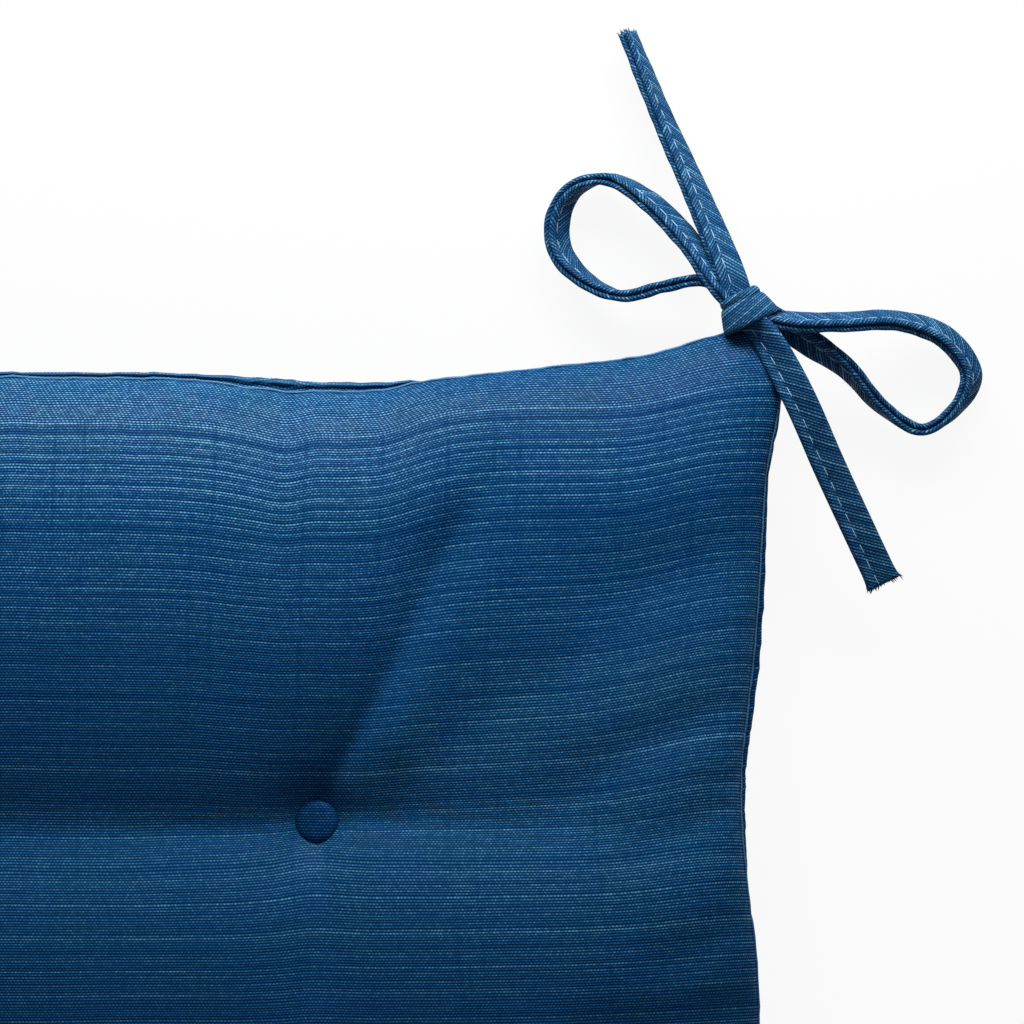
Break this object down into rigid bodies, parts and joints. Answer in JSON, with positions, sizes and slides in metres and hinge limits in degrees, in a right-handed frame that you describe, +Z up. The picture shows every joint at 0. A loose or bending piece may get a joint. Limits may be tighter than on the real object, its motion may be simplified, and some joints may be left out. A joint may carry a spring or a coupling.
{
  "type": "tufted chair cushion with ties",
  "caption": "Square tufted outdoor chair cushion, knife-edged and crowned, with covered buttons and a bow-tied strap at each back corner.",
  "frame": {"origin": "on the surface the cushion lies on, under the middle of its four tufts", "axes": "+Z up out of the top face, +Y towards the back edge with the ties, +X along the back edge"},
  "size_m": [0.6232, 0.59, 0.0597],
  "materials": {
    "panel_cloth": "plain slub weave in two blues, matt, with irregular thick weft threads",
    "button_cloth": "the panels' slub weave, stretched over a domed shell",
    "strap_cloth": "the same cloth folded into a strap, topstitched in pale blue thread"
  },
  "bodies": {
    "root": {"cushion": "panel_cloth", "button_top_back_right": "button_cloth", "button_top_back_left": "button_cloth", "button_top_front_left": "button_cloth", "button_top_front_right": "button_cloth", "button_under_back_right": "button_cloth", "button_under_back_left": "button_cloth", "button_under_front_left": "button_cloth", "button_under_front_right": "button_cloth", "tie_right": "strap_cloth", "tie_left": "strap_cloth"}
  },
  "joints": []
}
